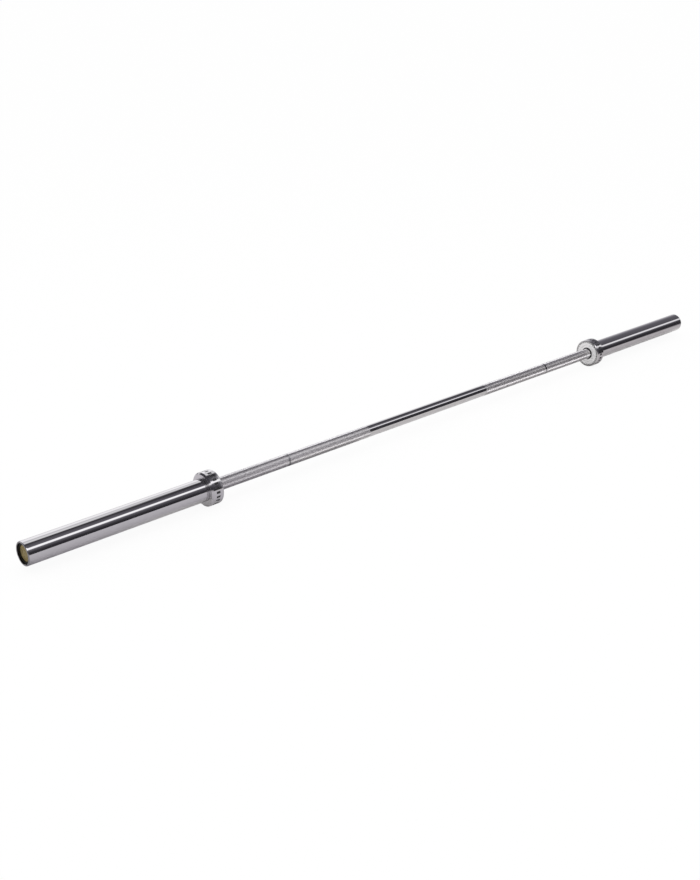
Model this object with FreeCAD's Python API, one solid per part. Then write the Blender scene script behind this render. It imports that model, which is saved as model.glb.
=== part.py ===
import FreeCAD, Part
import math
import os

# Whole bar, in mm: it lies along X with its middle on the origin, +Z up
bar_length = 2200.0
collar_span = 1310.0
collar_width = 30.0
collar_diameter = 75.0
sleeve_diameter = 50.0
shaft_diameter = 28.0
journal_diameter = 25.0

# Shaft: smooth middle, then two knurled bands a side with a smooth ring between them
smooth_middle = 416.0
ring_spacing = 910.0
ring_width = 5.0
knurl_height = 0.2
knurl_run_out = 0.3
knurl_collar_gap = 3.0
shoulder_chamfer = 0.4
shaft_end_gap = 19.0
shaft_end_chamfer = 1.5
centre_cone_radius = 4.0
centre_cone_depth = 3.5
centre_hole_radius = 2.0
centre_hole_depth = 9.0
centre_tip_depth = 1.2

# Sleeve tube: reduced spigot for the collar, relief beside it, stepped bore, open mouth
spigot_step = 1.5
relief_step = 0.8
relief_width = 0.3
joint_chamfer = 0.5
bore_lead_chamfer = 0.4
bore_clearance = 1.0
mouth_wall = 3.5
mouth_chamfer = 0.6
sleeve_end_round = 2.0
ledge_width = 1.0

# Collar ring
collar_outboard_chamfer = 3.6
collar_inboard_round = 3.0
collar_counterbore_depth = 2.6
collar_counterbore_clearance = 0.3

# Seal at the inboard end of the bore
seal_recess = 1.0
seal_width = 5.5
seal_depth = 2.4
seal_lip_width = 1.6
seal_waist_depth = 1.0
seal_back_width = 1.9

# Drawn-cup needle bearings on the journal
roller_diameter = 2.42
roller_clearance = 0.04
roller_count = 22
roller_length = 19.6
cup_wall = 1.0
cup_lip_thickness = 1.0
cup_lip_clearance = 0.6
pocket_clearance = 0.12
cage_end_wall = 1.73
cage_clearance = 0.35

# Thrust washers each side of the bearings
shoulder_gap = 2.5
inner_washer_thickness = 2.4
outer_washer_thickness = 2.7
washer_edge_clearance = 0.4
outer_washer_overlap = 3.4
washer_edge_chamfer = 0.3

# Snap ring on the shaft end
snap_groove_margin = 9.0
snap_groove_depth = 0.6
snap_ring_thickness = 1.2
snap_ring_radial_width = 3.1
snap_ring_gap = 5.0
snap_lug_radius = 2.4
snap_lug_hole_radius = 1.0

# End plate in the mouth, and the clip that holds it
plate_recess = 4.5
plate_thickness = 3.0
plate_edge_chamfer = 0.4
plate_ring_inset = 6.4
plate_ring_width = 1.1
plate_hub_radius = 6.4
plate_relief = 0.5
plate_dimple_radius = 2.2
plate_dimple_depth = 1.2
clip_thickness = 1.5
clip_groove_depth = 1.0
clip_radial_width = 5.6
clip_gap = 6.0
clip_lug_radius = 2.3
clip_lug_hole_radius = 1.0

# Fits: seat_fit within one body, end_play and seal_clearance between turning bodies
seat_fit = 0.02
end_play = 0.3
seal_clearance = 0.3

# Radii that follow
full_turn = 360.0
shaft_radius = shaft_diameter / 2
knurl_radius = shaft_radius + knurl_height
journal_radius = journal_diameter / 2
sleeve_radius = sleeve_diameter / 2
collar_radius = collar_diameter / 2
spigot_radius = sleeve_radius - spigot_step
relief_radius = sleeve_radius - relief_step
roller_radius = roller_diameter / 2
pitch_radius = journal_radius + roller_clearance + roller_radius
raceway_radius = pitch_radius + roller_radius + roller_clearance
bearing_seat_radius = raceway_radius + cup_wall
mid_bore_radius = journal_radius + bore_clearance
seal_seat_radius = shaft_radius + seal_depth
mouth_radius = sleeve_radius - mouth_wall
washer_room_radius = mouth_radius - ledge_width
clip_groove_radius = mouth_radius + clip_groove_depth
snap_groove_radius = journal_radius - snap_groove_depth

# Bearing lengths that follow from the rollers outwards
pocket_length = roller_length + pocket_clearance + pocket_clearance
cage_length = pocket_length + cage_end_wall + cage_end_wall
cup_length = cage_length + cage_clearance + cage_clearance + cup_lip_thickness + cup_lip_thickness

# Places along one half of the bar that follow, from the inboard face to the end
bar_end = bar_length / 2
collar_in = collar_span / 2
collar_out = collar_in + collar_width
collar_stop = collar_out - collar_counterbore_depth
seal_start = collar_in + seal_recess
seal_seat_end = seal_start + seal_width
shaft_shoulder = seal_seat_end + shoulder_gap
inner_cup_start = shaft_shoulder + seat_fit + inner_washer_thickness + end_play
inner_seat_end = inner_cup_start + cup_length
plate_face = bar_end - plate_recess
plate_ledge = plate_face - plate_thickness
shaft_end = plate_ledge - shaft_end_gap
snap_groove_start = shaft_end - snap_groove_margin
snap_groove_end = snap_groove_start + snap_ring_thickness + seat_fit + seat_fit
outer_washer_start = snap_groove_start - outer_washer_thickness
outer_seat_end = outer_washer_start - end_play
outer_cup_start = outer_seat_end - cup_length
clip_groove_start = plate_face + seat_fit + seat_fit
clip_groove_end = clip_groove_start + clip_thickness + seat_fit + seat_fit


def turned(profile, side):
    points = [FreeCAD.Vector(side * x, 0, r) for x, r in profile]
    face = Part.Face(Part.makePolygon(points + points[:1]))
    solid = face.revolve(FreeCAD.Vector(0, 0, 0), FreeCAD.Vector(1, 0, 0), full_turn)
    if solid.Volume < 0:
        solid.reverse()
    return solid


def rod(radius, start, end, y, z, side):
    base = FreeCAD.Vector(side * start, y, z)
    return Part.makeCylinder(radius, end - start, base, FreeCAD.Vector(side, 0, 0))


def block(start, end, half_width, z_start, z_end, side):
    base = FreeCAD.Vector(min(side * start, side * end), -half_width, z_start)
    return Part.makeBox(end - start, half_width + half_width, z_end - z_start, base)


def around(shape, count):
    copies = []
    for index in range(count):
        copy = shape.copy()
        copy.rotate(FreeCAD.Vector(0, 0, 0), FreeCAD.Vector(1, 0, 0), full_turn * index / count)
        copies.append(copy)
    return copies


# Rounds the rim of one radius at one place along the bar
def round_rim(shape, x, radius, size, side):
    rim = []
    for edge in shape.Edges:
        if not hasattr(edge.Curve, "Radius"):
            continue
        on_rim = abs(edge.Curve.Radius - radius) < seat_fit
        at_face = abs(side * edge.Curve.Center.x - x) < seat_fit
        if on_rim and at_face:
            rim.append(edge)
    return shape.makeFillet(size, rim)


def save(shape, name):
    shape.exportStep("parts/" + name + ".step")


# Shaft: one half's outline from the smooth middle to the drilled end, then its mirror image
def make_shaft():
    knurl_start = smooth_middle / 2
    ring_start = ring_spacing / 2 - ring_width / 2
    ring_end = ring_start + ring_width
    knurl_end = collar_in - knurl_collar_gap
    half = []
    for first, last in ((knurl_start, ring_start), (ring_end, knurl_end)):
        half += [(first, shaft_radius), (first + knurl_run_out, knurl_radius)]
        half += [(last - knurl_run_out, knurl_radius), (last, shaft_radius)]
    half += [(shaft_shoulder - shoulder_chamfer, shaft_radius)]
    half += [(shaft_shoulder, shaft_radius - shoulder_chamfer), (shaft_shoulder, journal_radius)]
    half += [(snap_groove_start, journal_radius), (snap_groove_start, snap_groove_radius)]
    half += [(snap_groove_end, snap_groove_radius), (snap_groove_end, journal_radius)]
    half += [(shaft_end - shaft_end_chamfer, journal_radius)]
    half += [(shaft_end, journal_radius - shaft_end_chamfer), (shaft_end, centre_cone_radius)]
    half += [(shaft_end - centre_cone_depth, centre_hole_radius)]
    half += [(shaft_end - centre_hole_depth, centre_hole_radius)]
    half += [(shaft_end - centre_hole_depth - centre_tip_depth, 0)]
    mirrored = [(-x, r) for x, r in reversed(half)]
    return turned(mirrored + half, 1)


# Sleeve tube: outside from the inboard face to the end, then the bore back again
def make_sleeve_tube(side):
    wall_start = collar_out + relief_width
    outline = [(collar_in, seal_seat_radius + bore_lead_chamfer)]
    outline += [(collar_in, spigot_radius - joint_chamfer), (collar_in + joint_chamfer, spigot_radius)]
    outline += [(collar_stop, spigot_radius), (collar_stop, relief_radius)]
    outline += [(wall_start, relief_radius), (wall_start, sleeve_radius)]
    outline += [(bar_end, sleeve_radius), (bar_end, mouth_radius + mouth_chamfer)]
    outline += [(bar_end - mouth_chamfer, mouth_radius), (clip_groove_end, mouth_radius)]
    outline += [(clip_groove_end, clip_groove_radius), (clip_groove_start, clip_groove_radius)]
    outline += [(clip_groove_start, mouth_radius), (plate_ledge, mouth_radius)]
    outline += [(plate_ledge, washer_room_radius), (outer_seat_end, washer_room_radius)]
    outline += [(outer_seat_end, bearing_seat_radius), (outer_cup_start, bearing_seat_radius)]
    outline += [(outer_cup_start, mid_bore_radius), (inner_seat_end, mid_bore_radius)]
    outline += [(inner_seat_end, bearing_seat_radius), (seal_seat_end, bearing_seat_radius)]
    outline += [(seal_seat_end, seal_seat_radius), (collar_in + bore_lead_chamfer, seal_seat_radius)]
    return round_rim(turned(outline, side), bar_end, sleeve_radius, sleeve_end_round, side)


# Collar ring: shrunk on the spigot as far as its stop, with a counterbore that clears the sleeve
def make_collar(side):
    stop = collar_stop - seat_fit
    bore = spigot_radius + seat_fit
    counterbore = sleeve_radius + collar_counterbore_clearance
    outline = [(collar_in, bore + joint_chamfer), (collar_in, collar_radius)]
    outline += [(collar_out - collar_outboard_chamfer, collar_radius)]
    outline += [(collar_out, collar_radius - collar_outboard_chamfer), (collar_out, counterbore)]
    outline += [(stop, counterbore), (stop, bore), (collar_in + joint_chamfer, bore)]
    return round_rim(turned(outline, side), collar_in, collar_radius, collar_inboard_round, side)


# Shaft seal: rubber ring with a tapered lip towards the shaft
def make_seal(side):
    lip = shaft_radius + seal_clearance
    outer = seal_seat_radius - seat_fit
    end = seal_seat_end - seat_fit
    waist = lip + seal_waist_depth
    outline = [(seal_start, lip), (seal_start, outer), (end, outer), (end, waist)]
    outline += [(end - seal_back_width, waist), (seal_start + seal_lip_width, lip)]
    return turned(outline, side)


# Needle bearing: drawn cup with two lips, slotted cage, loose rollers
def make_cup(start, side):
    first = start + seat_fit
    last = start + cup_length - seat_fit
    outer = bearing_seat_radius - seat_fit
    lip = journal_radius + cup_lip_clearance
    outline = [(first, lip), (first, outer), (last, outer), (last, lip)]
    outline += [(last - cup_lip_thickness, lip), (last - cup_lip_thickness, raceway_radius)]
    outline += [(first + cup_lip_thickness, raceway_radius), (first + cup_lip_thickness, lip)]
    return turned(outline, side)


def make_cage(start, side):
    first = start + cup_lip_thickness + cage_clearance
    last = first + cage_length
    inner = journal_radius + cage_clearance
    outer = raceway_radius - cage_clearance
    ring = turned([(first, inner), (first, outer), (last, outer), (last, inner)], side)
    pocket_start = first + cage_end_wall
    half_width = roller_radius + pocket_clearance
    pocket = block(pocket_start, pocket_start + pocket_length, half_width,
                   journal_radius, raceway_radius, side)
    return ring.cut(Part.makeCompound(around(pocket, roller_count)))


def make_rollers(start, side):
    middle = start + cup_length / 2
    half_length = roller_length / 2
    roller = rod(roller_radius, middle - half_length, middle + half_length, 0, pitch_radius, side)
    return Part.makeCompound(around(roller, roller_count))


# Thrust washer on the journal
def make_washer(start, end, outer, side):
    bore = journal_radius + seat_fit
    edge = outer - washer_edge_chamfer
    outline = [(start, bore), (start, edge), (start + washer_edge_chamfer, outer)]
    outline += [(end - washer_edge_chamfer, outer), (end, edge), (end, bore)]
    return turned(outline, side)


# Open ring with two drilled lugs on its inner or outer edge, for both retaining rings
def open_ring(start, thickness, inner, outer, gap, lug_circle, lug_radius, hole_radius, side):
    end = start + thickness
    ring = turned([(start, inner), (start, outer), (end, outer), (end, inner)], side)
    ring = ring.cut(block(start - thickness, end + thickness, gap / 2, 0, outer + thickness, side))
    lug_y = gap / 2 + lug_radius
    lug_z = math.sqrt(lug_circle ** 2 - lug_y ** 2)
    lugs = [rod(lug_radius, start, end, y, lug_z, side) for y in (-lug_y, lug_y)]
    holes = [rod(hole_radius, start, end, y, lug_z, side) for y in (-lug_y, lug_y)]
    return ring.fuse(lugs).removeSplitter().cut(holes).Solids[0]


def make_snap_ring(side):
    inner = snap_groove_radius + seat_fit
    outer = inner + snap_ring_radial_width
    return open_ring(snap_groove_start + seat_fit, snap_ring_thickness, inner, outer, snap_ring_gap,
                     outer, snap_lug_radius, snap_lug_hole_radius, side)


def make_clip(side):
    outer = clip_groove_radius - seat_fit
    inner = outer - clip_radial_width
    return open_ring(clip_groove_start + seat_fit, clip_thickness, inner, outer, clip_gap,
                     inner + clip_lug_radius, clip_lug_radius, clip_lug_hole_radius, side)


# End plate: turned disc with two ring grooves and a dimple in its outboard face
def make_end_plate(side):
    back = plate_ledge + seat_fit
    floor = plate_face - plate_relief
    rim = mouth_radius - seat_fit
    outline = [(back, 0), (back, rim), (plate_face - plate_edge_chamfer, rim)]
    outline += [(plate_face, rim - plate_edge_chamfer)]
    for groove_radius in (rim - plate_ring_inset, plate_hub_radius):
        groove_outer = groove_radius + plate_ring_width
        outline += [(plate_face, groove_outer), (floor, groove_outer)]
        outline += [(floor, groove_radius), (plate_face, groove_radius)]
    outline += [(plate_face, plate_dimple_radius), (plate_face - plate_dimple_depth, 0)]
    return turned(outline, side)


os.makedirs("parts", exist_ok=True)
save(make_shaft(), "shaft")
for side, word in ((-1, "left"), (1, "right")):
    save(make_sleeve_tube(side), word + "_sleeve_tube")
    save(make_collar(side), word + "_collar")
    save(make_seal(side), word + "_shaft_seal")
    save(make_end_plate(side), word + "_end_plate")
    save(make_clip(side), word + "_end_plate_clip")
    save(make_snap_ring(side), word + "_snap_ring")
    inner_washer_start = shaft_shoulder + seat_fit
    inner_washer_end = inner_washer_start + inner_washer_thickness
    inner_washer_radius = bearing_seat_radius - washer_edge_clearance
    inner_washer = make_washer(inner_washer_start, inner_washer_end, inner_washer_radius, side)
    save(inner_washer, word + "_inner_thrust_washer")
    outer_washer_radius = bearing_seat_radius + outer_washer_overlap
    outer_washer = make_washer(outer_washer_start, snap_groove_start, outer_washer_radius, side)
    save(outer_washer, word + "_outer_thrust_washer")
    for place, cup_start in (("inner", inner_cup_start), ("outer", outer_cup_start)):
        stem = word + "_" + place + "_bearing_"
        save(make_cup(cup_start, side), stem + "cup")
        save(make_cage(cup_start, side), stem + "cage")
        save(make_rollers(cup_start, side), stem + "rollers")
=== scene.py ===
import math

import bpy
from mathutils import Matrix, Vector


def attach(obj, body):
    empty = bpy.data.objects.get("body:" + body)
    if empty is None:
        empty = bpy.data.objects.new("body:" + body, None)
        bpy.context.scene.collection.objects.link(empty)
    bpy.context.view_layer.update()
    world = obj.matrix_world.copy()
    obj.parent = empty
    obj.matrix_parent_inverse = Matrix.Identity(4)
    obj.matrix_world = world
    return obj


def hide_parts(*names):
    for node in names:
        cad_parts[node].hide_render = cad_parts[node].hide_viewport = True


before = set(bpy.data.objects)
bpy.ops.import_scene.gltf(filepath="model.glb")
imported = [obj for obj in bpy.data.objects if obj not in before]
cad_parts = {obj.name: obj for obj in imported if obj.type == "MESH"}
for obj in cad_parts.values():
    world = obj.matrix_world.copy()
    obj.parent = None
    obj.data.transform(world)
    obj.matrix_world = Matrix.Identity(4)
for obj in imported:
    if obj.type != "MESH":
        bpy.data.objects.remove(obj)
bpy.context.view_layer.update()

mm = 0.001
sides = {"left": -1, "right": 1}

# Sizes in mm, as in the frame: one half of the bar, counted along X from its middle
bar_end = 1100.0
collar_in = 655.0
collar_out = 685.0
collar_radius = 37.5
sleeve_radius = 25.0
shaft_radius = 14.0
journal_radius = 12.5
seat_fit = 0.02

# Shaft: beds under the knurl, shoulder, journal, snap ring groove and drilled centre
bed_radius = 13.6
shaft_shoulder = 664.0
shoulder_chamfer = 0.4
snap_groove_start = 1064.5
snap_groove_end = 1065.74
snap_groove_radius = 11.9
shaft_end = 1073.5
shaft_end_chamfer = 1.5
centre_cone_radius = 4.0
centre_cone_depth = 3.5
centre_hole_radius = 2.0
centre_hole_depth = 9.0
centre_tip_depth = 1.2

# Knurl: two bands of raised diamonds a side with a smooth ring between them, bored to a share of their ends
knurl_bands = {"inner": (208.0, 452.5), "outer": (457.5, 652.0)}
ring_start = knurl_bands["inner"][1]
ring_end = knurl_bands["outer"][0]
crest_radius = 14.2
valley_radius = 13.92
diamonds_around = 56
diamond_half_length = 1.2
diamond_half_width = math.pi * valley_radius / diamonds_around
diamond_side_width = 0.24
band_bore_share = 0.975

# Sleeve: spigot under the collar, relief beside it, open mouth and stepped bore
spigot_radius = 23.5
joint_chamfer = 0.5
collar_stop = 682.4
relief_radius = 24.2
wall_start = 685.3
sleeve_end_round = 2.0
mouth_radius = 21.5
mouth_chamfer = 0.6
clip_groove_start = 1095.54
clip_groove_end = 1097.08
clip_groove_radius = 22.5
plate_ledge = 1092.5
washer_room_radius = 20.5
outer_seat_start = 1035.5
outer_seat_end = 1061.5
bearing_seat_radius = 16.0
mid_bore_radius = 13.5
inner_seat_end = 692.72
seal_seat_end = 661.5
seal_seat_radius = 16.4
bore_lead_chamfer = 0.4
bore_lead_radius = seal_seat_radius + bore_lead_chamfer

# Collar: rims, counterbore, and what is cut into its inboard face and its rim
collar_round = 3.0
collar_chamfer = 3.6
counterbore_radius = 25.3
face_groove_radii = (28.9, 29.7)
face_groove_slope = 0.2
face_groove_depth = 0.35
face_tick_radii = (30.2, 32.2)
face_tick_depth = 0.3
face_line_radii = (32.8, 34.2)
face_line_depth = 0.45
rim_bar_places = (665.3, 674.7)
rim_bar_depth = 0.4

# End plate: two turned grooves, a dimple and raised bars
plate_face = 1095.5
plate_chamfer = 0.4
plate_ring_radii = (15.08, 16.18)
plate_hub_radii = (6.4, 7.5)
plate_groove_depth = 0.5
plate_bar_radii = (9.0, 13.6)
plate_bar_height = 0.3
plate_dimple_radius = 2.2
plate_dimple_depth = 1.2

# Facets round each turned piece, and the width of its softened edges
shaft_facets, shaft_edge = 160, 0.1
sleeve_facets, sleeve_edge = 192, 0.12
collar_facets, collar_edge = 180, 0.12
plate_facets, plate_edge = 120, 0.08

# Marks round a piece: the facets that carry them, out of so many that repeat
rim_bars = (0, 1, 2, 3, 7, 8, 9, 10), 15
face_ticks = (0, 1, 3), 6
plate_bars = (0, 1), 5

# Reach of the tests that pick faces: beside a surface, and below the inboard faces
near = 0.1
face_skin = 0.5

# Welding distances, and the angles from which an edge is softened or shaded sharp
outline_weld = 0.005
knurl_weld = 0.01
bevel_angle = math.radians(35)
smooth_angle = math.radians(32)

# Studio, in metres
floor_size = 160.0
lamp_place = (-0.8, -0.4, 3.4)
lamp_size = (3.4, 2.4)
lamp_watts = 15.0
camera_place = (-1.96213, -1.82193, 1.02642)
camera_aim = (0.630512, 0.67528, -0.382689)
camera_sensor_mm = 36.0
camera_lens_mm = 47.3725
camera_reach = (0.05, 400.0)


# Tools: selecting, turning on the axis, marking facets, softening edges


def start_clean():
    if bpy.context.mode != "OBJECT":
        bpy.ops.object.mode_set(mode="OBJECT")
    bpy.ops.object.select_all(action="DESELECT")


def take(piece):
    start_clean()
    piece.select_set(True)
    bpy.context.view_layer.objects.active = piece


def apply_modifier(piece, kind, **settings):
    take(piece)
    modifier = piece.modifiers.new(kind.lower(), kind)
    for key, value in settings.items():
        setattr(modifier, key, value)
    bpy.ops.object.modifier_apply(modifier=modifier.name)


def on_side(side, outline):
    """The outline on the left (-1) or right (1) half of the bar."""
    return [(side * x, radius) for x, radius in outline]


def rounded(x, radius, size, first, last):
    """Points of a rounded rim: a quarter circle about (x, radius), from one angle to another."""
    steps = 6
    points = []
    for step in range(steps + 1):
        turn = math.radians(first + (last - first) * step / steps)
        points.append((x + size * math.cos(turn), radius + size * math.sin(turn)))
    return points


def turn_on_axis(name, outline, facets, finishes):
    """A closed outline of (x, radius) in mm, drawn point by point and spun round the bar's axis."""
    start_clean()
    bpy.ops.mesh.primitive_plane_add(size=mm, location=(0, 0, 0))
    piece = bpy.context.object
    piece.name = name
    piece.data.name = name
    bpy.ops.object.mode_set(mode="EDIT")
    bpy.ops.mesh.select_mode(type="VERT")
    bpy.ops.mesh.select_all(action="SELECT")
    bpy.ops.mesh.merge(type="CENTER")
    x, radius = outline[0]
    bpy.ops.transform.translate(value=(x * mm, 0, radius * mm))
    for next_x, next_radius in outline[1:] + outline[:1]:
        step = ((next_x - x) * mm, 0, (next_radius - radius) * mm)
        bpy.ops.mesh.extrude_region_move(TRANSFORM_OT_translate={"value": step})
        x, radius = next_x, next_radius
    bpy.ops.mesh.select_all(action="SELECT")
    bpy.ops.mesh.spin(steps=facets, angle=math.tau, center=(0, 0, 0), axis=(1, 0, 0))
    bpy.ops.mesh.select_all(action="SELECT")
    bpy.ops.mesh.remove_doubles(threshold=outline_weld * mm)
    bpy.ops.mesh.normals_make_consistent(inside=False)
    bpy.ops.object.mode_set(mode="OBJECT")
    for finish in finishes:
        piece.data.materials.append(finish)
    return piece


def select_faces(piece, chosen):
    """Edit mode with only the faces whose middle passes the test.

    The test gets its distance from the bar's middle and from the axis, in mm, and its turn in degrees.
    """
    take(piece)
    bpy.ops.object.mode_set(mode="EDIT")
    bpy.ops.mesh.select_mode(type="FACE")
    bpy.ops.mesh.select_all(action="DESELECT")
    bpy.ops.object.mode_set(mode="OBJECT")
    for face in piece.data.polygons:
        x, y, z = face.center / mm
        turn = math.degrees(math.atan2(y, z)) % 360
        face.select = chosen(abs(x), math.hypot(y, z), turn)
    bpy.ops.object.mode_set(mode="EDIT")


def has_mark(turn, facets, marks):
    """Whether the facet at this turn carries one of the marks."""
    carriers, repeat = marks
    return int(turn * facets / 360) % repeat in carriers


def give_finish(piece, finish):
    """Gives the selected faces one of the piece's finishes and leaves edit mode."""
    piece.active_material_index = piece.data.materials.find(finish.name)
    bpy.ops.object.material_slot_assign()
    bpy.ops.object.mode_set(mode="OBJECT")


def soften_edges(piece, width):
    apply_modifier(piece, "BEVEL", width=width * mm, segments=2, limit_method="ANGLE",
                   angle_limit=bevel_angle)
    take(piece)
    bpy.ops.object.shade_smooth_by_angle(angle=smooth_angle)
    apply_modifier(piece, "WEIGHTED_NORMAL", keep_sharp=True)


def place(piece, body, slot, *nodes):
    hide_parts(*nodes)
    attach(piece, body)


# Tools for shaders


def add(tree, kind, inputs=(), **settings):
    """A new node, with a link to each input given as a socket and a constant on each of the others."""
    node = tree.nodes.new(kind)
    for key, value in settings.items():
        setattr(node, key, value)
    for key, value in dict(inputs).items():
        if isinstance(value, bpy.types.NodeSocket):
            tree.links.new(value, node.inputs[key])
        else:
            node.inputs[key].default_value = value
    return node


def calculate(tree, operation, *numbers):
    return add(tree, "ShaderNodeMath", enumerate(numbers), operation=operation).outputs[0]


def spread(tree, share, low, high, to_low=0.0, to_high=1.0, **settings):
    """Stretches a value between low and high to the span between two others, and clips it there."""
    ends = {"Value": share, "From Min": low, "From Max": high, "To Min": to_low, "To Max": to_high}
    return add(tree, "ShaderNodeMapRange", ends, **settings).outputs[0]


def mix(tree, share, first, second):
    return add(tree, "ShaderNodeMixRGB", {0: share, 1: first, 2: second}).outputs[0]


def colour_ramp(tree, share, stops):
    """Colours by a share of 0 to 1, from stops of (share, colour) in rising order."""
    ramp = add(tree, "ShaderNodeValToRGB", {"Fac": share})
    elements = ramp.color_ramp.elements
    elements[0].position = stops[0][0]
    elements[1].position = stops[-1][0]
    for position, _ in stops[1:-1]:
        elements.new(position)
    for element, (_, colour) in zip(elements, stops):
        element.color = (*colour, 1)
    return ramp.outputs[0]


def axis_distance(tree, coordinates):
    across = add(tree, "ShaderNodeVectorMath", {0: coordinates, 1: (0, 1, 1)}, operation="MULTIPLY")
    return add(tree, "ShaderNodeVectorMath", {0: across.outputs[0]}, operation="LENGTH").outputs["Value"]


# Effects, as node groups with named inputs and outputs


def new_group(name, numbers, outputs):
    group = bpy.data.node_groups.new(name, "ShaderNodeTree")
    group.interface.new_socket("Coordinates", in_out="INPUT", socket_type="NodeSocketVector")
    for number in numbers:
        group.interface.new_socket(number, in_out="INPUT", socket_type="NodeSocketFloat")
    for output in outputs:
        group.interface.new_socket(output, in_out="OUTPUT", socket_type="NodeSocketFloat")
    given = group.nodes.new("NodeGroupInput").outputs
    out = group.nodes.new("NodeGroupOutput").inputs
    return group, given, out


def make_polish_group():
    """Fine turning rings, along round faces and outwards on flat ones, and a soft haze from handling."""
    group, given, out = new_group("polish_marks", ("Ring Scale", "Haze Scale"), ("Rings", "Haze"))
    coordinates = given["Coordinates"]
    axis = add(group, "ShaderNodeSeparateXYZ", {0: coordinates})
    along = calculate(group, "ADD", axis.outputs["X"], axis_distance(group, coordinates))
    scaled = calculate(group, "MULTIPLY", along, given["Ring Scale"])
    lines = {"W": scaled, "Scale": 1.0, "Detail": 3.0}
    rings = add(group, "ShaderNodeTexNoise", lines, noise_dimensions="1D")
    cloud = {"Vector": coordinates, "Scale": given["Haze Scale"], "Detail": 4.0}
    haze = add(group, "ShaderNodeTexNoise", cloud)
    group.links.new(rings.outputs[0], out["Rings"])
    group.links.new(haze.outputs[0], out["Haze"])
    return group


def make_depth_group():
    """0 at the bottom of a cut and 1 at full height, from the distance to the bar's axis; the knurl's
    painted shade in its grooves follows it.
    """
    group, given, out = new_group("cut_height", ("Bottom", "Top"), ("Height",))
    radius = axis_distance(group, given["Coordinates"])
    group.links.new(spread(group, radius, given["Bottom"], given["Top"]), out["Height"])
    return group


polish_marks = make_polish_group()
cut_height = make_depth_group()


# Finishes: colours and roughness from low to high, and the depth of the fine relief in mm


def new_material(name):
    material = bpy.data.materials.new(name)
    material.use_nodes = True
    tree = material.node_tree
    tree.nodes.clear()
    coordinates = add(tree, "ShaderNodeTexCoord").outputs["Object"]
    return material, tree, coordinates


def add_surface(tree, sockets):
    shader = add(tree, "ShaderNodeBsdfPrincipled", sockets)
    add(tree, "ShaderNodeOutputMaterial", {"Surface": shader.outputs[0]})


def add_gloss(tree, noise, roughness):
    """Roughness from a noise, which is seldom outside 0.3 to 0.7."""
    return spread(tree, noise, 0.3, 0.7, *roughness)


def add_relief(tree, height, depth, strength):
    relief = {"Height": height, "Strength": strength, "Distance": depth * mm}
    return add(tree, "ShaderNodeBump", relief).outputs[0]


def add_grain(tree, coordinates, scale, detail):
    grain = {"Vector": coordinates, "Scale": scale, "Detail": detail}
    return add(tree, "ShaderNodeTexNoise", grain).outputs[0]


def turned_metal(name, low, high, roughness, ring_scale, haze_scale, depth, metallic=1.0):
    """Metal turned or polished on a lathe: a haze in colour and gloss, and rings in fine relief."""
    material, tree, coordinates = new_material(name)
    given = {"Coordinates": coordinates, "Ring Scale": ring_scale, "Haze Scale": haze_scale}
    marks = add(tree, "ShaderNodeGroup", given, node_tree=polish_marks).outputs
    add_surface(tree, {
        "Base Color": colour_ramp(tree, marks["Haze"], ((0, low), (1, high))),
        "Metallic": metallic,
        "Roughness": add_gloss(tree, marks["Haze"], roughness),
        "Normal": add_relief(tree, marks["Rings"], depth, strength=1.0)})
    return material


def knurl_metal(name, valley, crest, roughness):
    """Chrome over cut diamonds, lighter on the crests and darker in the grooves by height: a painted
    highlight on the crests and painted shade in the grooves, and a fine grain in the gloss.
    """
    material, tree, coordinates = new_material(name)
    given = {"Coordinates": coordinates, "Bottom": valley_radius * mm, "Top": crest_radius * mm}
    height = add(tree, "ShaderNodeGroup", given, node_tree=cut_height).outputs["Height"]
    grain = add_grain(tree, coordinates, scale=900.0, detail=3.0)
    add_surface(tree, {
        "Base Color": colour_ramp(tree, height, ((0, valley), (1, crest))),
        "Metallic": 1.0,
        "Roughness": add_gloss(tree, grain, roughness)})
    return material


def grained(name, low, high, roughness, scale, depth, specular=0.5):
    """Paint, rubber or a phosphated skin: an even fine grain in colour, gloss and relief."""
    material, tree, coordinates = new_material(name)
    grain = add_grain(tree, coordinates, scale, detail=5.0)
    add_surface(tree, {
        "Base Color": colour_ramp(tree, grain, ((0, low), (1, high))),
        "Roughness": add_gloss(tree, grain, roughness),
        "Specular IOR Level": specular,
        "Normal": add_relief(tree, grain, depth, strength=0.6)})
    return material


chrome_low = (0.535, 0.53, 0.535)
chrome_high = (0.585, 0.58, 0.585)
sleeve_chrome = turned_metal(
    "sleeve_chrome", chrome_low, chrome_high, roughness=(0.045, 0.085),
    ring_scale=2200.0, haze_scale=30.0, depth=0.0004)
shaft_chrome = turned_metal(
    "shaft_chrome", chrome_low, chrome_high, roughness=(0.05, 0.09),
    ring_scale=2600.0, haze_scale=40.0, depth=0.0004)
ring_chrome = turned_metal(
    "ring_mark_chrome", (0.22, 0.22, 0.225), (0.28, 0.28, 0.285), roughness=(0.07, 0.12),
    ring_scale=2600.0, haze_scale=40.0, depth=0.0004)
# Knurl colour by height: painted shade in the grooves, painted highlight on the crests
knurl_chrome = knurl_metal(
    "knurl_chrome", valley=(0.525, 0.515, 0.52), crest=(0.685, 0.675, 0.68), roughness=(0.14, 0.22))
collar_chrome = turned_metal(
    "collar_chrome", chrome_low, chrome_high, roughness=(0.05, 0.09),
    ring_scale=2600.0, haze_scale=60.0, depth=0.0005)
collar_satin = turned_metal(
    "collar_face_satin", (0.82, 0.815, 0.82), (0.90, 0.89, 0.895), roughness=(0.32, 0.42),
    ring_scale=3000.0, haze_scale=60.0, depth=0.002, metallic=0.25)
collar_ground = turned_metal(
    "collar_face_ground", (0.60, 0.595, 0.60), (0.68, 0.67, 0.675), roughness=(0.20, 0.28),
    ring_scale=3000.0, haze_scale=60.0, depth=0.002)
plate_gold = turned_metal(
    "end_plate_gold", (0.50, 0.41, 0.17), (0.72, 0.61, 0.285), roughness=(0.26, 0.38),
    ring_scale=2600.0, haze_scale=90.0, depth=0.004)
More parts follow.
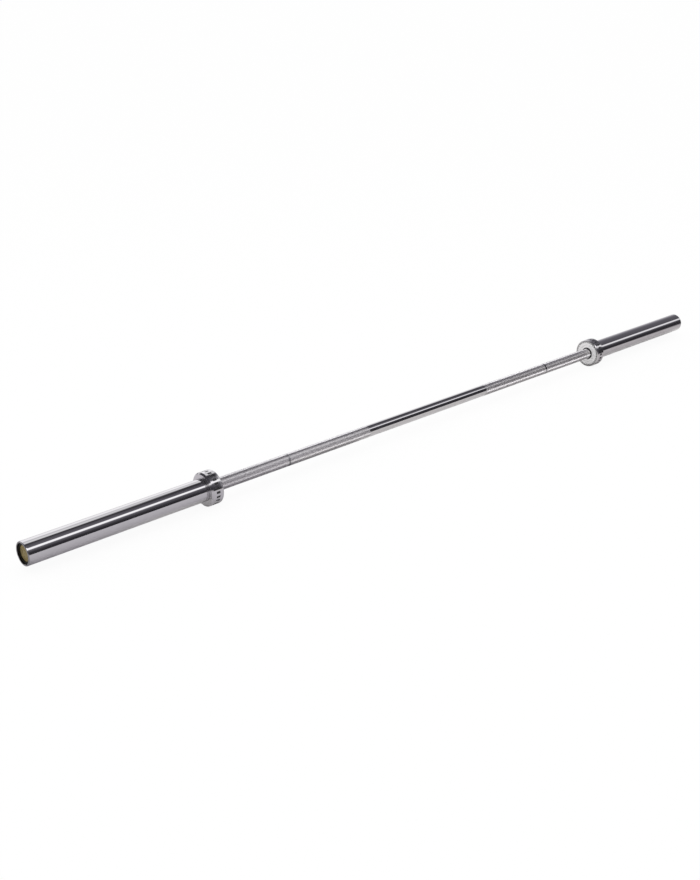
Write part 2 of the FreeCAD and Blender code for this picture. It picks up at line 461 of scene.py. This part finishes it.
# The mouth's bore is near black: painted shade in the recess, over bored steel
mouth_shade_steel = turned_metal(
    "bored_mouth_painted_shade", (0.020, 0.018, 0.014), (0.042, 0.037, 0.030), roughness=(0.40, 0.55),
    ring_scale=1800.0, haze_scale=60.0, depth=0.004)
bearing_steel = turned_metal(
    "bearing_steel", (0.52, 0.52, 0.53), (0.60, 0.60, 0.61), roughness=(0.16, 0.26),
    ring_scale=2600.0, haze_scale=120.0, depth=0.001)
washer_steel = turned_metal(
    "washer_steel", (0.40, 0.40, 0.41), (0.50, 0.50, 0.51), roughness=(0.30, 0.42),
    ring_scale=2200.0, haze_scale=120.0, depth=0.003)
mark_paint = grained(
    "mark_black_paint", (0.008, 0.008, 0.009), (0.020, 0.020, 0.021), roughness=(0.38, 0.52),
    scale=700.0, depth=0.02)
seal_rubber = grained(
    "seal_black_rubber", (0.014, 0.014, 0.014), (0.032, 0.032, 0.032), roughness=(0.52, 0.68),
    scale=900.0, depth=0.03)
spring_black = grained(
    "spring_phosphate", (0.007, 0.006, 0.004), (0.018, 0.016, 0.011), roughness=(0.42, 0.58),
    scale=1400.0, depth=0.01, specular=0.2)


# Shaft: smooth core, sunk a little under the knurled bands, with a dark ring between them


def make_shaft_core():
    half = []
    for first, last in knurl_bands.values():
        half += [(first, shaft_radius), (first, bed_radius), (last, bed_radius), (last, shaft_radius)]
    half += [(shaft_shoulder - shoulder_chamfer, shaft_radius)]
    half += [(shaft_shoulder, shaft_radius - shoulder_chamfer), (shaft_shoulder, journal_radius)]
    half += [(snap_groove_start, journal_radius), (snap_groove_start, snap_groove_radius)]
    half += [(snap_groove_end, snap_groove_radius), (snap_groove_end, journal_radius)]
    half += [(shaft_end - shaft_end_chamfer, journal_radius)]
    half += [(shaft_end, journal_radius - shaft_end_chamfer), (shaft_end, centre_cone_radius)]
    half += [(shaft_end - centre_cone_depth, centre_hole_radius)]
    half += [(shaft_end - centre_hole_depth, centre_hole_radius)]
    half += [(shaft_end - centre_hole_depth - centre_tip_depth, 0.0)]
    outline = on_side(-1, reversed(half)) + half
    core = turn_on_axis("shaft_core", outline, shaft_facets, (shaft_chrome, ring_chrome))

    def on_ring(x, radius, turn):
        return ring_start < x < ring_end and radius > shaft_radius - near

    select_faces(core, on_ring)
    give_finish(core, ring_chrome)
    soften_edges(core, shaft_edge)
    place(core, "shaft", "shaft_chrome", "shaft")


# Knurl: one diamond, its neighbour, a sheet of them, rolled to a tube and trimmed square


def lay_diamonds(name, first, last):
    """A flat sheet of raised diamonds in rows along the bar, with every other row half a diamond over."""
    rows = math.ceil((last - first) / (2 * diamond_half_length)) + 1
    start_clean()
    bpy.ops.mesh.primitive_circle_add(vertices=4, radius=mm, fill_type="NGON", rotation=(math.pi / 2, 0, 0))
    sheet = bpy.context.object
    sheet.name = name
    bpy.ops.object.transform_apply(location=True, rotation=True, scale=True)
    bpy.ops.object.mode_set(mode="EDIT")
    bpy.ops.mesh.select_mode(type="FACE")
    bpy.ops.mesh.select_all(action="SELECT")
    bpy.ops.transform.resize(value=(diamond_half_length, 1, diamond_half_width), center_override=(0, 0, 0))
    bpy.ops.mesh.inset(thickness=diamond_side_width * mm, depth=(crest_radius - valley_radius) * mm)
    bpy.ops.mesh.select_all(action="SELECT")
    neighbour = (diamond_half_length * mm, 0, diamond_half_width * mm)
    bpy.ops.mesh.duplicate_move(TRANSFORM_OT_translate={"value": neighbour})
    bpy.ops.mesh.select_all(action="SELECT")
    bpy.ops.transform.translate(value=(first * mm, 0, 0))
    bpy.ops.object.mode_set(mode="OBJECT")
    along = (2 * diamond_half_length * mm, 0, 0)
    round_about = (0, 0, 2 * diamond_half_width * mm)
    for count, step in ((rows, along), (diamonds_around, round_about)):
        apply_modifier(sheet, "ARRAY", count=count, use_relative_offset=False, use_constant_offset=True,
                       constant_offset_displace=step)
    return sheet


def roll_up(sheet, first, last):
    """Bends the sheet to a tube on the axis and trims its ends, and stays in edit mode.

    The sheet is half a diamond wider than one turn, because every other row stands over.
    """
    sheet_turn = math.tau * (2 * diamonds_around + 1) / (2 * diamonds_around)
    apply_modifier(sheet, "SIMPLE_DEFORM", deform_method="BEND", deform_axis="X", angle=sheet_turn)
    take(sheet)
    bpy.ops.object.mode_set(mode="EDIT")
    bpy.ops.mesh.select_mode(type="VERT")
    bpy.ops.mesh.select_all(action="SELECT")
    bpy.ops.transform.translate(value=(0, -valley_radius * mm, 0))
    bpy.ops.mesh.remove_doubles(threshold=knurl_weld * mm)
    bpy.ops.mesh.bisect(plane_co=(first * mm, 0, 0), plane_no=(1, 0, 0), clear_inner=True)
    bpy.ops.mesh.select_all(action="SELECT")
    bpy.ops.mesh.bisect(plane_co=(last * mm, 0, 0), plane_no=(1, 0, 0), clear_outer=True)


def close_band(band):
    """Adds the two end walls and a plain bore between them, and leaves edit mode."""
    bpy.ops.mesh.select_mode(type="EDGE")
    bpy.ops.mesh.select_all(action="DESELECT")
    bpy.ops.mesh.select_non_manifold(extend=False, use_wire=False, use_boundary=True, use_multi_face=False,
                                     use_non_contiguous=False, use_verts=False)
    bpy.ops.mesh.extrude_region_move()
    bpy.ops.transform.resize(value=(1, band_bore_share, band_bore_share), center_override=(0, 0, 0))
    bpy.ops.mesh.bridge_edge_loops()
    bpy.ops.mesh.select_all(action="SELECT")
    bpy.ops.mesh.normals_make_consistent(inside=False)
    bpy.ops.object.mode_set(mode="OBJECT")
    band.data.materials.append(knurl_chrome)


def make_knurl_bands():
    for word, (first, last) in knurl_bands.items():
        band = lay_diamonds("right_" + word + "_knurl", first, last)
        roll_up(band, first, last)
        close_band(band)
        take(band)
        bpy.ops.object.duplicate()
        copy = bpy.context.object
        copy.name = "left_" + word + "_knurl"
        bpy.ops.object.mode_set(mode="EDIT")
        bpy.ops.mesh.select_all(action="SELECT")
        bpy.ops.transform.translate(value=(-(first + last) * mm, 0, 0))
        bpy.ops.object.mode_set(mode="OBJECT")
        for piece in (band, copy):
            piece.data.name = piece.name
            place(piece, "shaft", "shaft_chrome", "shaft")


# Sleeve: spigot, long plain wall, rounded end, bored mouth painted near black as shade, and the stepped
# bore behind it


def make_sleeve(word, side):
    wall = [(collar_in, bore_lead_radius), (collar_in, spigot_radius - joint_chamfer)]
    wall += [(collar_in + joint_chamfer, spigot_radius), (collar_stop, spigot_radius)]
    wall += [(collar_stop, relief_radius), (wall_start, relief_radius), (wall_start, sleeve_radius)]
    wall += rounded(bar_end - sleeve_end_round, sleeve_radius - sleeve_end_round, sleeve_end_round, 90, 0)
    wall += [(bar_end, mouth_radius + mouth_chamfer), (bar_end - mouth_chamfer, mouth_radius)]
    bore = [(clip_groove_end, mouth_radius), (clip_groove_end, clip_groove_radius)]
    bore += [(clip_groove_start, clip_groove_radius), (clip_groove_start, mouth_radius)]
    bore += [(plate_ledge, mouth_radius), (plate_ledge, washer_room_radius)]
    bore += [(outer_seat_end, washer_room_radius), (outer_seat_end, bearing_seat_radius)]
    bore += [(outer_seat_start, bearing_seat_radius), (outer_seat_start, mid_bore_radius)]
    bore += [(inner_seat_end, mid_bore_radius), (inner_seat_end, bearing_seat_radius)]
    bore += [(seal_seat_end, bearing_seat_radius), (seal_seat_end, seal_seat_radius)]
    bore += [(collar_in + bore_lead_chamfer, seal_seat_radius)]
    finishes = (sleeve_chrome, mouth_shade_steel, collar_satin)
    sleeve = turn_on_axis(word + "_sleeve_shell", on_side(side, wall + bore), sleeve_facets, finishes)

    def in_mouth(x, radius, turn):
        return outer_seat_end - near < x < bar_end - mouth_chamfer and radius < clip_groove_radius + near

    def on_inboard_face(x, radius, turn):
        return x < collar_in + face_skin and radius > bore_lead_radius - near

    select_faces(sleeve, in_mouth)
    give_finish(sleeve, mouth_shade_steel)
    select_faces(sleeve, on_inboard_face)
    give_finish(sleeve, collar_satin)
    soften_edges(sleeve, sleeve_edge)
    place(sleeve, word + "_sleeve", "sleeve_chrome", word + "_sleeve_tube")


# Collar: one rim rounded, one chamfered, filled bars round it, filled ticks and a line on its inboard face


def collar_outline():
    bore = spigot_radius + seat_fit
    stop = collar_stop - seat_fit
    groove_in, groove_out = face_groove_radii
    groove_floor = collar_in + face_groove_depth
    line_in, line_out = face_line_radii
    line_floor = collar_in + face_line_depth
    outline = [(collar_in, bore + joint_chamfer), (collar_in, groove_in)]
    outline += [(groove_floor, groove_in + face_groove_slope)]
    outline += [(groove_floor, groove_out - face_groove_slope), (collar_in, groove_out)]
    outline += [(collar_in, radius) for radius in face_tick_radii]
    outline += [(collar_in, line_in), (line_floor, line_in), (line_floor, line_out), (collar_in, line_out)]
    outline += rounded(collar_in + collar_round, collar_radius - collar_round, collar_round, 180, 90)
    outline += [(x, collar_radius) for x in rim_bar_places]
    outline += [(collar_out - collar_chamfer, collar_radius), (collar_out, collar_radius - collar_chamfer)]
    outline += [(collar_out, counterbore_radius), (stop, counterbore_radius), (stop, bore)]
    outline += [(collar_in + joint_chamfer, bore)]
    return outline


def make_collar(word, side):
    finishes = (collar_chrome, mark_paint, collar_satin, collar_ground)
    collar = turn_on_axis(word + "_collar_ring", on_side(side, collar_outline()), collar_facets, finishes)

    def on_rim_bar(x, radius, turn):
        on_band = rim_bar_places[0] < x < rim_bar_places[1] and radius > collar_radius - near
        return on_band and has_mark(turn, collar_facets, rim_bars)

    def on_inboard_face(x, radius, turn):
        return x < collar_in + face_skin and radius < collar_radius - collar_round + near

    def on_face_tick(x, radius, turn):
        on_band = x < collar_in + near and face_tick_radii[0] < radius < face_tick_radii[1]
        return on_band and has_mark(turn, collar_facets, face_ticks)

    def in_face_line(x, radius, turn):
        return x < collar_in + face_skin and face_line_radii[0] - near < radius < face_line_radii[1] + near

    def on_outboard_face(x, radius, turn):
        return x > collar_out - near

    select_faces(collar, on_rim_bar)
    bpy.ops.mesh.extrude_region_move()
    sunk = (collar_radius - rim_bar_depth) / collar_radius
    bpy.ops.transform.resize(value=(1, sunk, sunk), center_override=(0, 0, 0))
    give_finish(collar, mark_paint)
    select_faces(collar, on_inboard_face)
    give_finish(collar, collar_satin)
    select_faces(collar, on_face_tick)
    bpy.ops.mesh.extrude_region_move(TRANSFORM_OT_translate={"value": (side * face_tick_depth * mm, 0, 0)})
    give_finish(collar, mark_paint)
    select_faces(collar, in_face_line)
    give_finish(collar, mark_paint)
    select_faces(collar, on_outboard_face)
    give_finish(collar, collar_ground)
    soften_edges(collar, collar_edge)
    place(collar, word + "_sleeve", "collar_chrome", word + "_collar")


# End plate: turned grooves, a dimple, and a ring of raised bars


def plate_groove(inner, outer):
    floor = plate_face - plate_groove_depth
    return [(plate_face, outer), (floor, outer), (floor, inner), (plate_face, inner)]


def make_end_plate(word, side):
    back = plate_ledge + seat_fit
    rim = mouth_radius - seat_fit
    bar_inner, bar_outer = plate_bar_radii
    outline = [(back, 0.0), (back, rim)]
    outline += [(plate_face - plate_chamfer, rim), (plate_face, rim - plate_chamfer)]
    outline += plate_groove(*plate_ring_radii)
    outline += [(plate_face, bar_outer), (plate_face, bar_inner)]
    outline += plate_groove(*plate_hub_radii)
    outline += [(plate_face, plate_dimple_radius), (plate_face - plate_dimple_depth, 0.0)]
    plate = turn_on_axis(word + "_gold_plate", on_side(side, outline), plate_facets, (plate_gold,))

    def on_bar(x, radius, turn):
        on_band = x > plate_face - near and bar_inner < radius < bar_outer
        return on_band and has_mark(turn, plate_facets, plate_bars)

    select_faces(plate, on_bar)
    bpy.ops.mesh.extrude_region_move(TRANSFORM_OT_translate={"value": (side * plate_bar_height * mm, 0, 0)})
    bpy.ops.object.mode_set(mode="OBJECT")
    soften_edges(plate, plate_edge)
    place(plate, word + "_sleeve", "end_plate_gold", word + "_end_plate")


make_shaft_core()
make_knurl_bands()
for word, side in sides.items():
    make_sleeve(word, side)
    make_collar(word, side)
    make_end_plate(word, side)

# Parts that stay as they come from the frame
kept_finishes = {"shaft_seal": seal_rubber, "end_plate_clip": spring_black, "snap_ring": spring_black,
                 "thrust_washer": washer_steel, "bearing": bearing_steel}
for name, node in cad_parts.items():
    for kind, finish in kept_finishes.items():
        if kind in name:
            node.data.materials.clear()
            node.data.materials.append(finish)


# Studio: pale floor, one soft lamp, and a room whose light and dark panels show in the chrome

white = (1, 1, 1, 1)
room_light = (0.97, 0.97, 0.97, 1)
floor_light = (0.95, 0.95, 0.95, 1)
floor_glow_share = 0.92

# Floor as the chrome mirrors it, in metres and in shares of the way from one end to the other:
# a paper sheet with a slanting front edge, and a stripe close under the bar of painted shadow and painted
# light
floor_ends = (-1.1, 1.1)
sheet_slant = -0.47
sheet_edge = (-0.82, -0.62)
painted_stripe_reach = (0.042, 0.012)
off_sheet = (0.05, 0.047, 0.055, 1)
dim = (0.36, 0.345, 0.37)
cool = (0.71, 0.685, 0.73)
warm = (0.84, 0.815, 0.815)
brown = (0.71, 0.675, 0.695)
# glow is painted light, dusk painted half shade and shade deep painted shadow, all on the floor close under
# the bar
glow = (1.0, 0.985, 0.985)
dusk = (0.45, 0.44, 0.44)
shade = (0.12, 0.115, 0.125)
sheet_colours = (
    (0.0, dim), (0.012, cool), (0.295, cool), (0.33, warm), (0.8, warm), (0.82, brown), (1.0, brown))
# Along the bar: painted light under the sleeves, collars and middle, painted shadow under the knurls,
# deepest under the left one
painted_light_and_shade_colours = (
    (0.0, dim), (0.012, cool), (0.05, cool), (0.145, glow), (0.2, glow), (0.206, shade), (0.398, shade),
    (0.407, glow), (0.605, glow), (0.613, dusk), (0.812, dusk), (0.82, glow))

# Rows of panels along the room, from the left end to the right, each with what mirrors it from the camera.
# A row takes over while the X of the mirrored direction rises from its first number to its second.
# Its panels are (degrees, brightness), about the bar's axis: 0 behind the bar, 90 overhead, 180 in front.
below_floor = (-180, 0.75)
# Faces that look left
left_row = (
    (-4, 0.75), (0, 0.78), (10, 0.74), (18, 0.3), (26, 0.1), (60, 0.07), (110, 0.1), (116, 0.3),
    (119, 1.3), (130, 1.3), (135, 0.3), (146, 0.1), (165, 0.06), (180, 0.05))
next_rows = (
    # Slopes that lean left
    (-0.3, -0.14, (
        (-4, 0.8), (0, 0.85), (12, 1.0), (30, 1.2), (50, 1.4), (60, 1.3), (76, 1.1), (84, 0.45),
        (100, 0.35), (110, 0.5), (115, 3.0), (129, 3.0), (134, 0.4), (144, 0.1), (163, 0.06), (171, 0.35),
        (177, 0.9), (180, 0.9))),
    (-0.09, 0.0, (
        (-4, 0.8), (0, 0.5), (4, 0.15), (13, 0.2), (22, 1.7), (50, 1.8), (58, 1.0), (66, 0.6), (75, 0.2),
        (82, 0.1), (108, 0.1), (112, 0.5), (116, 3.4), (132, 3.4), (137, 0.7), (148, 0.2), (160, 0.2),
        (168, 0.4), (176, 0.75), (180, 0.8))),
    (0.19, 0.27, (
        (-4, 0.8), (0, 0.5), (4, 0.15), (13, 0.2), (22, 1.4), (28, 1.6), (37, 0.4), (45, 0.08), (60, 0.06),
        (100, 0.08), (112, 0.3), (120, 2.5), (140, 2.5), (145, 0.6), (152, 0.25), (165, 0.25), (175, 0.5),
        (180, 0.5))),
    # Left sleeve, its outer and its inner half
    (0.3, 0.37, (
        (-4, 0.8), (0, 1.2), (26, 1.42), (36, 1.4), (46, 0.84), (53, 0.84), (59, 1.15), (67, 1.12),
        (71, 0.95), (77, 0.06), (84, 0.062), (94, 0.12), (104, 0.155), (116, 0.19), (118.5, 0.3),
        (121, 1.65), (135, 1.65), (138.5, 0.3), (146, 0.15), (152, 0.12), (160, 0.058), (170, 0.04),
        (180, 0.035))),
    (0.42, 0.52, (
        (-4, 0.8), (0, 1.2), (26, 1.42), (34, 1.4), (41, 0.86), (46, 0.86), (51, 1.12), (58, 1.1),
        (62, 0.95), (68.5, 0.06), (84, 0.055), (94, 0.1), (104, 0.14), (114, 0.2), (116.5, 0.3),
        (119, 1.65), (131.5, 1.65), (135, 0.3), (142, 0.13), (150, 0.11), (160, 0.058), (170, 0.04),
        (180, 0.035))),
    # Left knurl
    (0.54, 0.562, (
        (-4, 0.9), (0, 1.8), (27, 1.8), (44, 1.3), (58, 0.65), (70, 0.38), (82, 0.6), (93, 1.0),
        (103, 1.45), (113, 1.5), (123, 1.2), (132, 0.95), (141, 0.72), (150, 0.62), (160, 0.55),
        (170, 0.5), (180, 0.5))),
    # Smooth middle
    (0.622, 0.64, (
        (-4, 0.8), (0, 1.1), (20, 1.2), (33, 0.75), (44, 0.3), (52, 0.1), (62, 0.06), (76, 0.075),
        (90, 0.13), (102, 0.2), (111, 0.33), (115, 1.5), (125, 1.5), (128, 0.3), (133, 0.08), (143, 0.05),
        (160, 0.04), (180, 0.04))),
    # Right knurl, its inner and its outer band
    (0.72, 0.735, (
        (-4, 0.9), (0, 1.6), (27, 1.6), (44, 1.1), (58, 0.6), (71, 0.28), (82, 0.12), (95, 0.05),
        (110, 0.02), (140, 0.02), (160, 0.08), (170, 0.15), (180, 0.2))),
    (0.753, 0.761, (
        (-4, 0.9), (0, 1.1), (27, 0.9), (44, 0.5), (58, 0.3), (71, 0.16), (82, 0.08), (95, 0.04),
        (110, 0.02), (140, 0.02), (160, 0.08), (170, 0.15), (180, 0.2))),
    # Right sleeve
    (0.766, 0.778, (
        (-4, 0.8), (0, 0.9), (18, 0.55), (40, 0.3), (58, 0.19), (78, 0.16), (94, 0.15), (108, 0.13),
        (118.5, 0.2), (121.5, 1.3), (136, 1.3), (140, 0.22), (149, 0.12), (158, 0.06), (168, 0.04),
        (180, 0.035))),
    # Slopes that lean right
    (0.86, 0.93, (
        (-4, 0.9), (0, 1.6), (20, 1.8), (40, 0.75), (75, 0.65), (90, 0.45), (100, 0.25), (110, 0.2),
        (180, 0.15))))


def mirrored_floor(tree, coordinates):
    """Colours of the floor in the chrome, by the place on it, with a stripe of painted shadow and painted
    light close under the bar.
    """
    spot = add(tree, "ShaderNodeSeparateXYZ", {0: coordinates}).outputs
    along = spread(tree, spot["X"], *floor_ends)
    slant = calculate(tree, "MULTIPLY_ADD", spot["X"], sheet_slant, spot["Y"])
    sheet = spread(tree, slant, *sheet_edge)
    lit = mix(tree, sheet, off_sheet, colour_ramp(tree, along, sheet_colours))
    # Painted shadow and light close under the bar, fading out with the distance from it
    painted_stripe_share = spread(tree, calculate(tree, "ABSOLUTE", spot["Y"]), *painted_stripe_reach)
    return mix(tree, painted_stripe_share, lit, colour_ramp(tree, along, painted_light_and_shade_colours))


def make_floor():
    start_clean()
    bpy.ops.mesh.primitive_plane_add(size=floor_size, location=(0, 0, -collar_radius * mm))
    floor = bpy.context.object
    floor.name = "floor"
    material, tree, coordinates = new_material("pale_floor")
    rays = add(tree, "ShaderNodeLightPath").outputs
    mirrored = calculate(tree, "MAXIMUM", rays["Is Glossy Ray"], rays["Is Transmission Ray"])
    tone = mix(tree, mirrored, floor_light, mirrored_floor(tree, coordinates))
    cloth = add(tree, "ShaderNodeBsdfDiffuse", {"Color": tone})
    bright = add(tree, "ShaderNodeEmission", {"Color": white, "Strength": 1.0})
    seen = calculate(tree, "MULTIPLY", rays["Is Camera Ray"], floor_glow_share)
    surface = add(tree, "ShaderNodeMixShader", {0: seen, 1: cloth.outputs[0], 2: bright.outputs[0]})
    add(tree, "ShaderNodeOutputMaterial", {"Surface": surface.outputs[0]})
    floor.data.materials.append(material)


def panel_grey(level):
    """Grey of a panel, the dark ones a little bluer than the light ones."""
    light = min(level, 1.0)
    green_share = 0.95 + 0.04 * light
    blue_share = 1.12 - 0.105 * light
    return level, level * green_share, level * blue_share


def panel_ramp(tree, turn, row):
    stops = [((degrees + 180.0) / 360.0, panel_grey(level)) for degrees, level in (below_floor, *row)]
    return colour_ramp(tree, turn, stops)


def make_room():
    world = bpy.data.worlds.new("studio_room")
    bpy.context.scene.world = world
    world.use_nodes = True
    tree = world.node_tree
    tree.nodes.clear()
    rays = add(tree, "ShaderNodeLightPath").outputs
    towards = add(tree, "ShaderNodeTexCoord").outputs["Generated"]
    direction = add(tree, "ShaderNodeSeparateXYZ", {0: towards}).outputs
    angle = calculate(tree, "ARCTAN2", direction["Z"], direction["Y"])
    turn = spread(tree, angle, -math.pi, math.pi)
    panels = panel_ramp(tree, turn, left_row)
    for first, last, row in next_rows:
        along = spread(tree, direction["X"], first, last, interpolation_type="SMOOTHSTEP")
        panels = mix(tree, along, panels, panel_ramp(tree, turn, row))
    soft = mix(tree, rays["Is Glossy Ray"], room_light, panels)
    seen = mix(tree, rays["Is Camera Ray"], soft, white)
    light = add(tree, "ShaderNodeBackground", {"Color": seen, "Strength": 1.0})
    add(tree, "ShaderNodeOutputWorld", {"Surface": light.outputs[0]})


def make_lamp():
    start_clean()
    bpy.ops.object.light_add(type="AREA", location=lamp_place)
    lamp = bpy.context.object
    lamp.name = "soft_lamp"
    lamp.data.shape = "RECTANGLE"
    lamp.data.size, lamp.data.size_y = lamp_size
    lamp.data.energy = lamp_watts
    lamp.visible_glossy = False
    lamp.rotation_euler = (-lamp.location).to_track_quat("-Z", "Y").to_euler()


def make_camera():
    start_clean()
    bpy.ops.object.camera_add(location=camera_place)
    camera = bpy.context.object
    camera.name = "photo_camera"
    camera.rotation_euler = Vector(camera_aim).to_track_quat("-Z", "Y").to_euler()
    camera.data.sensor_width = camera_sensor_mm
    camera.data.lens = camera_lens_mm
    camera.data.clip_start, camera.data.clip_end = camera_reach
    bpy.context.scene.camera = camera


make_floor()
make_room()
make_lamp()
make_camera()
bpy.context.scene.view_settings.view_transform = "Standard"
start_clean()
